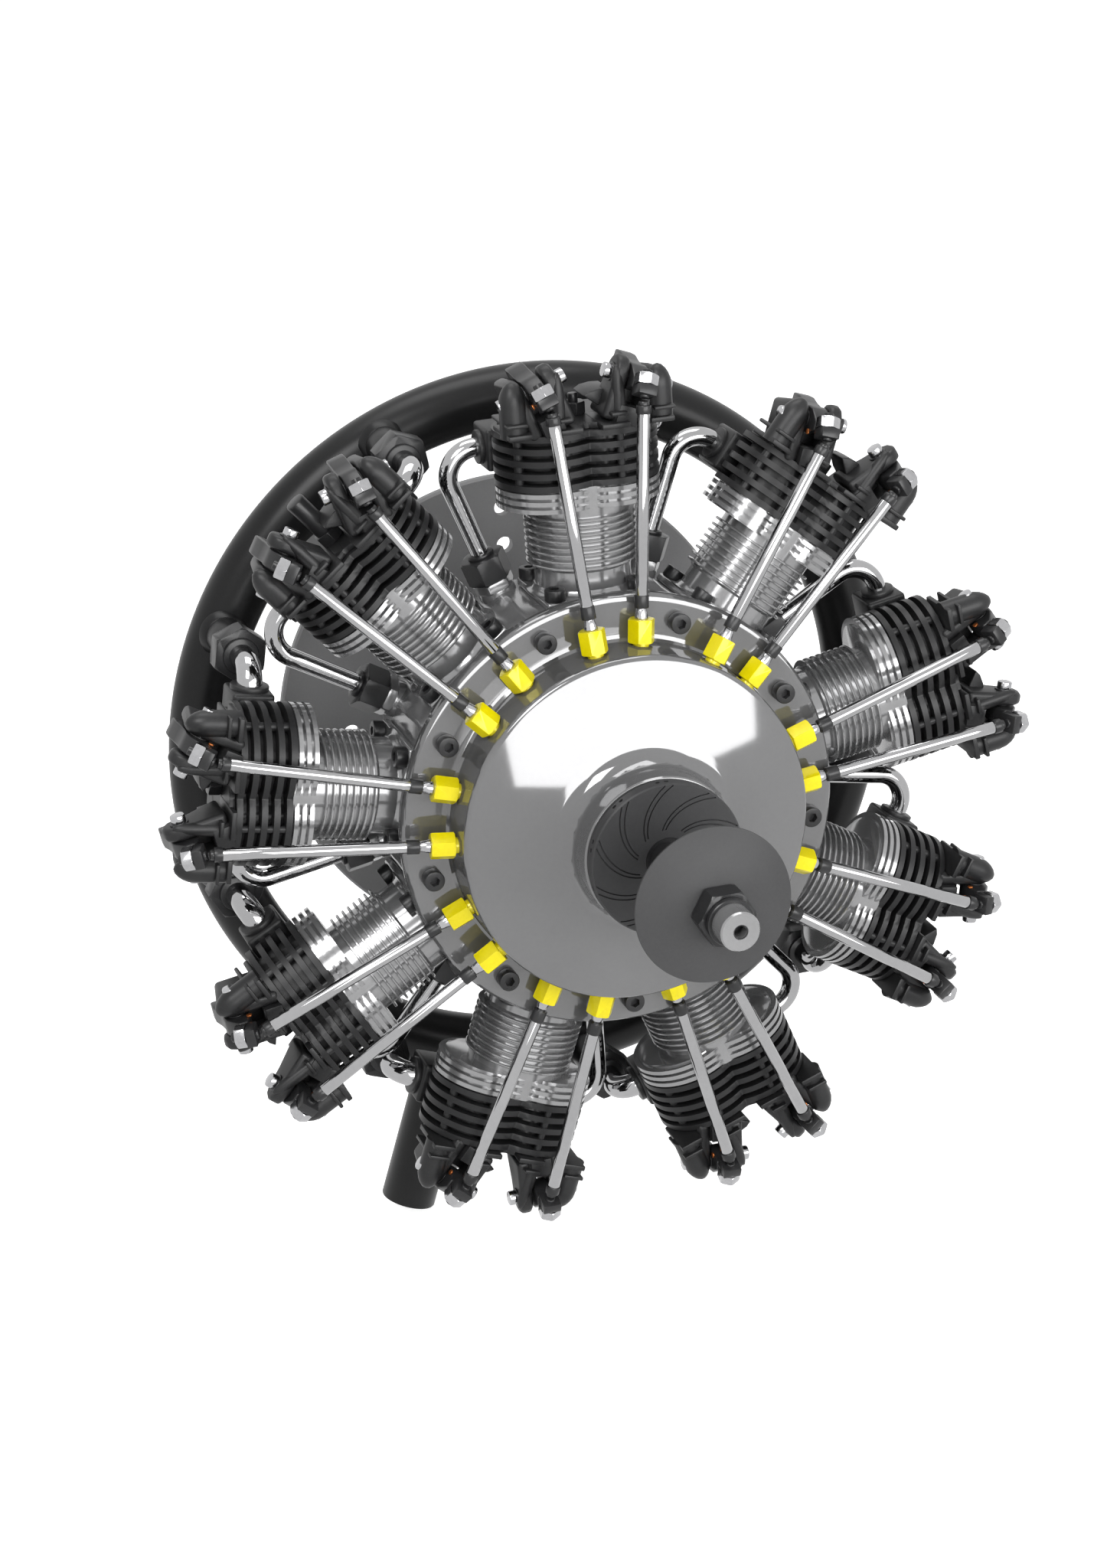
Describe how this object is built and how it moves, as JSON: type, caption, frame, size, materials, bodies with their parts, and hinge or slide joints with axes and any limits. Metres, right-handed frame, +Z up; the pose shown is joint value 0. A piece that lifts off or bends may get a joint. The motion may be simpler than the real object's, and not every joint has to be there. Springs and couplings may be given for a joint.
{
  "type": "radial aircraft engine",
  "caption": "Air-cooled radial engine with pushrod valve gear ahead of the cylinders, a ring exhaust collector and a round rear mounting plate.",
  "frame": {"origin": "centre of the mounting plate's rear face, on the crankshaft axis", "axes": "+Z up through cylinder 1; +Y aft along the crankshaft, away from the propeller; +X to the right seen from the front"},
  "size_m": [0.3062, 0.2414, 0.3335],
  "materials": {
    "polished_case": "polished",
    "plain_steel": "satin",
    "black_head": "satin",
    "chrome_tube": "polished",
    "blued_steel": "satin",
    "yellow_guide": "gloss",
    "ring_grey": "satin",
    "plate_grey": "matte",
    "rod_steel": "satin"
  },
  "bodies": {
    "engine": {"mounting_plate": "plate_grey", "rear_housing": "polished_case", "crankcase": "polished_case", "front_cover": "polished_case", "cylinder_barrels": "plain_steel", "cylinder_heads": "black_head", "rocker_pins": "plain_steel", "valve_springs": "rod_steel", "tappet_guides": "yellow_guide", "intake_tubes": "chrome_tube", "exhaust_tubes": "chrome_tube", "pipe_nuts": "blued_steel", "collector_ring": "ring_grey", "socket_screws": "blued_steel", "glow_plugs": "blued_steel", "carburettor": "ring_grey", "main_bearings": "rod_steel", "pistons_and_rods": "rod_steel"},
    "crank": {"crankshaft": "plain_steel", "drive_washer": "blued_steel", "prop_washer": "blued_steel", "prop_nut": "blued_steel"},
    "idler": {"cam_idler": "rod_steel"},
    "cam": {"cam_ring": "rod_steel"},
    "rocker_intake_1": {"rocker_intake_1": "blued_steel"},
    "pushrod_intake_1": {"pushrod_intake_1": "chrome_tube"},
    "rocker_exhaust_1": {"rocker_exhaust_1": "blued_steel"},
    "pushrod_exhaust_1": {"pushrod_exhaust_1": "chrome_tube"},
    "rocker_intake_2": {"rocker_intake_2": "blued_steel"},
    "pushrod_intake_2": {"pushrod_intake_2": "chrome_tube"},
    "rocker_exhaust_2": {"rocker_exhaust_2": "blued_steel"},
    "pushrod_exhaust_2": {"pushrod_exhaust_2": "chrome_tube"},
    "rocker_intake_3": {"rocker_intake_3": "blued_steel"},
    "pushrod_intake_3": {"pushrod_intake_3": "chrome_tube"},
    "rocker_exhaust_3": {"rocker_exhaust_3": "blued_steel"},
    "pushrod_exhaust_3": {"pushrod_exhaust_3": "chrome_tube"},
    "rocker_intake_4": {"rocker_intake_4": "blued_steel"},
    "pushrod_intake_4": {"pushrod_intake_4": "chrome_tube"},
    "rocker_exhaust_4": {"rocker_exhaust_4": "blued_steel"},
    "pushrod_exhaust_4": {"pushrod_exhaust_4": "chrome_tube"},
    "rocker_intake_5": {"rocker_intake_5": "blued_steel"},
    "pushrod_intake_5": {"pushrod_intake_5": "chrome_tube"},
    "rocker_exhaust_5": {"rocker_exhaust_5": "blued_steel"},
    "pushrod_exhaust_5": {"pushrod_exhaust_5": "chrome_tube"},
    "rocker_intake_6": {"rocker_intake_6": "blued_steel"},
    "pushrod_intake_6": {"pushrod_intake_6": "chrome_tube"},
    "rocker_exhaust_6": {"rocker_exhaust_6": "blued_steel"},
    "pushrod_exhaust_6": {"pushrod_exhaust_6": "chrome_tube"},
    "rocker_intake_7": {"rocker_intake_7": "blued_steel"},
    "pushrod_intake_7": {"pushrod_intake_7": "chrome_tube"},
    "rocker_exhaust_7": {"rocker_exhaust_7": "blued_steel"},
    "pushrod_exhaust_7": {"pushrod_exhaust_7": "chrome_tube"},
    "rocker_intake_8": {"rocker_intake_8": "blued_steel"},
    "pushrod_intake_8": {"pushrod_intake_8": "chrome_tube"},
    "rocker_exhaust_8": {"rocker_exhaust_8": "blued_steel"},
    "pushrod_exhaust_8": {"pushrod_exhaust_8": "chrome_tube"},
    "rocker_intake_9": {"rocker_intake_9": "blued_steel"},
    "pushrod_intake_9": {"pushrod_intake_9": "chrome_tube"},
    "rocker_exhaust_9": {"rocker_exhaust_9": "blued_steel"},
    "pushrod_exhaust_9": {"pushrod_exhaust_9": "chrome_tube"}
  },
  "joints": [
    {"name": "crank_spin", "type": "hinge", "parent": "engine", "child": "crank", "pos_m": [0, -0.115, 0], "axis": [0, 1, 0], "continuous": true},
    {"name": "idler_spin", "type": "hinge", "parent": "engine", "child": "idler", "pos_m": [0, -0.1235, 0.027], "axis": [0, 1, 0], "continuous": true},
    {"name": "cam_spin", "type": "hinge", "parent": "engine", "child": "cam", "pos_m": [0, -0.134, 0], "axis": [0, 1, 0], "continuous": true},
    {"name": "rocker_intake_1_swing", "type": "hinge", "parent": "engine", "child": "rocker_intake_1", "pos_m": [-0.01721, -0.1114, 0.14437], "axis": [-0.9336, 0, -0.3584], "range_deg": [0, 7.7]},
    {"name": "pushrod_intake_1_slide", "type": "slide", "parent": "engine", "child": "pushrod_intake_1", "axis": [-0.0863, 0.118, 0.9892], "range_m": [0, 0.00171], "stiffness_N_per_m": 1779, "springref_m": -0.00511},
    {"name": "rocker_exhaust_1_swing", "type": "hinge", "parent": "engine", "child": "rocker_exhaust_1", "pos_m": [0.01721, -0.1114, 0.14437], "axis": [-0.9336, 0, 0.3584], "range_deg": [0, 7.7]},
    {"name": "pushrod_exhaust_1_slide", "type": "slide", "parent": "engine", "child": "pushrod_exhaust_1", "axis": [0.0868, 0.0651, 0.9941], "range_m": [0, 0.00176], "stiffness_N_per_m": 1700, "springref_m": -0.00522},
    {"name": "rocker_intake_2_swing", "type": "hinge", "parent": "engine", "child": "rocker_intake_2", "pos_m": [0.07962, -0.1114, 0.12166], "axis": [-0.9455, 0, 0.3256], "range_deg": [0, 7.7]},
    {"name": "pushrod_intake_2_slide", "type": "slide", "parent": "engine", "child": "pushrod_intake_2", "axis": [0.5697, 0.118, 0.8133], "range_m": [0, 0.00171], "stiffness_N_per_m": 1779, "springref_m": -0.00511},
    {"name": "rocker_exhaust_2_swing", "type": "hinge", "parent": "engine", "child": "rocker_exhaust_2", "pos_m": [0.10598, -0.1114, 0.09953], "axis": [-0.4848, 0, 0.8746], "range_deg": [0, 7.7]},
    {"name": "pushrod_exhaust_2_slide", "type": "slide", "parent": "engine", "child": "pushrod_exhaust_2", "axis": [0.7055, 0.0651, 0.7058], "range_m": [0, 0.00176], "stiffness_N_per_m": 1700, "springref_m": -0.00522},
    {"name": "rocker_intake_3_swing", "type": "hinge", "parent": "engine", "child": "rocker_intake_3", "pos_m": [0.13919, -0.1114, 0.04202], "axis": [-0.515, 0, 0.8572], "range_deg": [0, 7.7]},
    {"name": "pushrod_intake_3_slide", "type": "slide", "parent": "engine", "child": "pushrod_intake_3", "axis": [0.9592, 0.118, 0.2568], "range_m": [0, 0.00171], "stiffness_N_per_m": 1779, "springref_m": -0.00511},
    {"name": "rocker_exhaust_3_swing", "type": "hinge", "parent": "engine", "child": "rocker_exhaust_3", "pos_m": [0.14517, -0.1114, 0.00812], "axis": [0.1908, 0, 0.9816], "range_deg": [0, 7.7]},
    {"name": "pushrod_exhaust_3_slide", "type": "slide", "parent": "engine", "child": "pushrod_exhaust_3", "axis": [0.9941, 0.0651, 0.0872], "range_m": [0, 0.00176], "stiffness_N_per_m": 1700, "springref_m": -0.00522},
    {"name": "rocker_intake_4_swing", "type": "hinge", "parent": "engine", "child": "rocker_intake_4", "pos_m": [0.13364, -0.1114, -0.05728], "axis": [0.1564, 0, 0.9877], "range_deg": [0, 7.7]},
    {"name": "pushrod_intake_4_slide", "type": "slide", "parent": "engine", "child": "pushrod_intake_4", "axis": [0.8999, 0.118, -0.4199], "range_m": [0, 0.00171], "stiffness_N_per_m": 1779, "springref_m": -0.00511},
    {"name": "rocker_exhaust_4_swing", "type": "hinge", "parent": "engine", "child": "rocker_exhaust_4", "pos_m": [0.11643, -0.1114, -0.08709], "axis": [0.7771, 0, 0.6293], "range_deg": [0, 7.7]},
    {"name": "pushrod_exhaust_4_slide", "type": "slide", "parent": "engine", "child": "pushrod_exhaust_4", "axis": [0.8175, 0.0651, -0.5722], "range_m": [0, 0.00176], "stiffness_N_per_m": 1700, "springref_m": -0.00522},
    {"name": "rocker_intake_5_swing", "type": "hinge", "parent": "engine", "child": "rocker_intake_5", "pos_m": [0.06555, -0.1114, -0.12978], "axis": [0.7547, 0, 0.6561], "range_deg": [0, 7.7]},
    {"name": "pushrod_intake_5_slide", "type": "slide", "parent": "engine", "child": "pushrod_intake_5", "axis": [0.4195, 0.118, -0.9001], "range_m": [0, 0.00171], "stiffness_N_per_m": 1779, "springref_m": -0.00511},
    {"name": "rocker_exhaust_5_swing", "type": "hinge", "parent": "engine", "child": "rocker_exhaust_5", "pos_m": [0.03321, -0.1114, -0.14155], "axis": [0.9998, 0, -0.0175], "range_deg": [0, 7.7]},
    {"name": "pushrod_exhaust_5_slide", "type": "slide", "parent": "engine", "child": "pushrod_exhaust_5", "axis": [0.2585, 0.0651, -0.9638], "range_m": [0, 0.00176], "stiffness_N_per_m": 1700, "springref_m": -0.00522},
    {"name": "rocker_intake_6_swing", "type": "hinge", "parent": "engine", "child": "rocker_intake_6", "pos_m": [-0.03321, -0.1114, -0.14155], "axis": [0.9998, 0, 0.0175], "range_deg": [0, 7.7]},
    {"name": "pushrod_intake_6_slide", "type": "slide", "parent": "engine", "child": "pushrod_intake_6", "axis": [-0.2572, 0.118, -0.9591], "range_m": [0, 0.00171], "stiffness_N_per_m": 1779, "springref_m": -0.00511},
    {"name": "rocker_exhaust_6_swing", "type": "hinge", "parent": "engine", "child": "rocker_exhaust_6", "pos_m": [-0.06555, -0.1114, -0.12978], "axis": [0.7547, 0, -0.6561], "range_deg": [0, 7.7]},
    {"name": "pushrod_exhaust_6_slide", "type": "slide", "parent": "engine", "child": "pushrod_exhaust_6", "axis": [-0.4215, 0.0651, -0.9045], "range_m": [0, 0.00176], "stiffness_N_per_m": 1700, "springref_m": -0.00522},
    {"name": "rocker_intake_7_swing", "type": "hinge", "parent": "engine", "child": "rocker_intake_7", "pos_m": [-0.11643, -0.1114, -0.08709], "axis": [0.7771, 0, -0.6293], "range_deg": [0, 7.7]},
    {"name": "pushrod_intake_7_slide", "type": "slide", "parent": "engine", "child": "pushrod_intake_7", "axis": [-0.8136, 0.118, -0.5694], "range_m": [0, 0.00171], "stiffness_N_per_m": 1779, "springref_m": -0.00511},
    {"name": "rocker_exhaust_7_swing", "type": "hinge", "parent": "engine", "child": "rocker_exhaust_7", "pos_m": [-0.13364, -0.1114, -0.05728], "axis": [0.1564, 0, -0.9877], "range_deg": [0, 7.7]},
    {"name": "pushrod_exhaust_7_slide", "type": "slide", "parent": "engine", "child": "pushrod_exhaust_7", "axis": [-0.9043, 0.0651, -0.4219], "range_m": [0, 0.00176], "stiffness_N_per_m": 1700, "springref_m": -0.00522},
    {"name": "rocker_intake_8_swing", "type": "hinge", "parent": "engine", "child": "rocker_intake_8", "pos_m": [-0.14517, -0.1114, 0.00812], "axis": [0.1908, 0, -0.9816], "range_deg": [0, 7.7]},
    {"name": "pushrod_intake_8_slide", "type": "slide", "parent": "engine", "child": "pushrod_intake_8", "axis": [-0.9892, 0.118, 0.0868], "range_m": [0, 0.00171], "stiffness_N_per_m": 1779, "springref_m": -0.00511},
    {"name": "rocker_exhaust_8_swing", "type": "hinge", "parent": "engine", "child": "rocker_exhaust_8", "pos_m": [-0.13919, -0.1114, 0.04202], "axis": [-0.515, 0, -0.8572], "range_deg": [0, 7.7]},
    {"name": "pushrod_exhaust_8_slide", "type": "slide", "parent": "engine", "child": "pushrod_exhaust_8", "axis": [-0.9639, 0.0651, 0.2581], "range_m": [0, 0.00176], "stiffness_N_per_m": 1700, "springref_m": -0.00522},
    {"name": "rocker_intake_9_swing", "type": "hinge", "parent": "engine", "child": "rocker_intake_9", "pos_m": [-0.10598, -0.1114, 0.09953], "axis": [-0.4848, 0, -0.8746], "range_deg": [0, 7.7]},
    {"name": "pushrod_intake_9_slide", "type": "slide", "parent": "engine", "child": "pushrod_intake_9", "axis": [-0.702, 0.118, 0.7023], "range_m": [0, 0.00171], "stiffness_N_per_m": 1779, "springref_m": -0.00511},
    {"name": "rocker_exhaust_9_swing", "type": "hinge", "parent": "engine", "child": "rocker_exhaust_9", "pos_m": [-0.07962, -0.1114, 0.12166], "axis": [-0.9455, 0, -0.3256], "range_deg": [0, 7.7]},
    {"name": "pushrod_exhaust_9_slide", "type": "slide", "parent": "engine", "child": "pushrod_exhaust_9", "axis": [-0.5725, 0.0651, 0.8173], "range_m": [0, 0.00176], "stiffness_N_per_m": 1700, "springref_m": -0.00522}
  ],
  "couplings": [
    {"joint": "idler_spin", "follows": "crank_spin", "ratio": -0.6875},
    {"joint": "cam_spin", "follows": "crank_spin", "ratio": -0.125},
    {"joint": "rocker_intake_1_swing", "follows": "pushrod_intake_1_slide", "rad_per_m": 78.327},
    {"joint": "rocker_exhaust_1_swing", "follows": "pushrod_exhaust_1_slide", "rad_per_m": 76.564},
    {"joint": "rocker_intake_2_swing", "follows": "pushrod_intake_2_slide", "rad_per_m": 78.327},
    {"joint": "rocker_exhaust_2_swing", "follows": "pushrod_exhaust_2_slide", "rad_per_m": 76.564},
    {"joint": "rocker_intake_3_swing", "follows": "pushrod_intake_3_slide", "rad_per_m": 78.327},
    {"joint": "rocker_exhaust_3_swing", "follows": "pushrod_exhaust_3_slide", "rad_per_m": 76.564},
    {"joint": "rocker_intake_4_swing", "follows": "pushrod_intake_4_slide", "rad_per_m": 78.327},
    {"joint": "rocker_exhaust_4_swing", "follows": "pushrod_exhaust_4_slide", "rad_per_m": 76.564},
    {"joint": "rocker_intake_5_swing", "follows": "pushrod_intake_5_slide", "rad_per_m": 78.327},
    {"joint": "rocker_exhaust_5_swing", "follows": "pushrod_exhaust_5_slide", "rad_per_m": 76.564},
    {"joint": "rocker_intake_6_swing", "follows": "pushrod_intake_6_slide", "rad_per_m": 78.327},
    {"joint": "rocker_exhaust_6_swing", "follows": "pushrod_exhaust_6_slide", "rad_per_m": 76.564},
    {"joint": "rocker_intake_7_swing", "follows": "pushrod_intake_7_slide", "rad_per_m": 78.327},
    {"joint": "rocker_exhaust_7_swing", "follows": "pushrod_exhaust_7_slide", "rad_per_m": 76.564},
    {"joint": "rocker_intake_8_swing", "follows": "pushrod_intake_8_slide", "rad_per_m": 78.327},
    {"joint": "rocker_exhaust_8_swing", "follows": "pushrod_exhaust_8_slide", "rad_per_m": 76.564},
    {"joint": "rocker_intake_9_swing", "follows": "pushrod_intake_9_slide", "rad_per_m": 78.327},
    {"joint": "rocker_exhaust_9_swing", "follows": "pushrod_exhaust_9_slide", "rad_per_m": 76.564}
  ]
}
